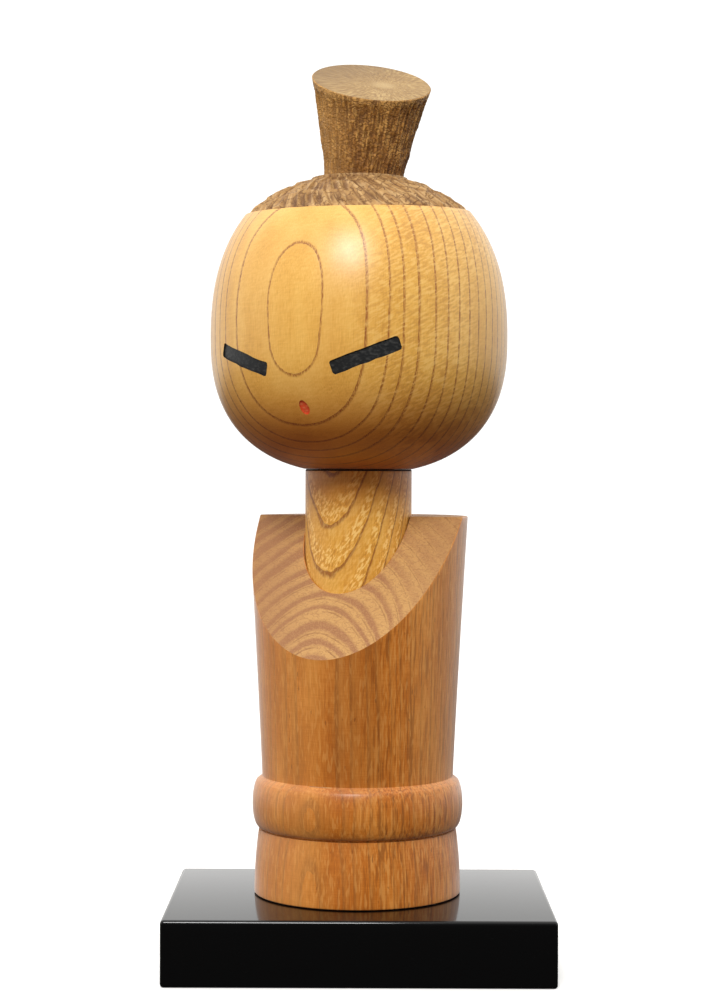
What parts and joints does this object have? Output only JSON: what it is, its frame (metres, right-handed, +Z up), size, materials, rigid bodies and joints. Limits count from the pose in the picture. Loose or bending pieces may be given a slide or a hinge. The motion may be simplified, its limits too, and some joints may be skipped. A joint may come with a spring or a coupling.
{
  "type": "kokeshi doll",
  "caption": "Turned wooden kokeshi doll with a round turning head, carved hair and flared topknot, slanted collar cut and girdle bead, standing on a black lacquered block plinth.",
  "frame": {"origin": "on the table, under the axis on which the doll was turned and on which its head turns", "axes": "+Z up along the doll's axis, -Y out of the plinth's front face towards the viewer, +X towards the viewer's right"},
  "size_m": [0.1245, 0.0986, 0.3006],
  "materials": {
    "black_lacquer": "mirror-gloss black lacquer on wood",
    "zinc_steel": "zinc-plated",
    "body_wood": "satin, ring-porous orange-brown hardwood",
    "neck_wood": "satin, golden hardwood",
    "head_wood": "satin-gloss, golden hardwood, crown carved rough",
    "topknot_wood": "carved rough sides, smooth cut top",
    "black_eye_lacquer": "satin black lacquer filling",
    "red_mouth_lacquer": "satin red lacquer filling"
  },
  "bodies": {
    "base": {"plinth": "black_lacquer"},
    "doll": {"plinth_washer": "zinc_steel", "plinth_screw": "zinc_steel", "body": "body_wood", "neck": "neck_wood"},
    "head": {"head": "head_wood", "topknot": "topknot_wood", "eye_left": "black_eye_lacquer", "eye_right": "black_eye_lacquer", "mouth": "red_mouth_lacquer"}
  },
  "joints": [
    {"name": "doll_turn", "type": "hinge", "parent": "base", "child": "doll", "pos_m": [0, 0, 0.0212], "axis": [0, 0, 1], "continuous": true},
    {"name": "head_turn", "type": "hinge", "parent": "doll", "child": "head", "pos_m": [0, 0, 0.1619], "axis": [0, 0, 1], "continuous": true}
  ]
}
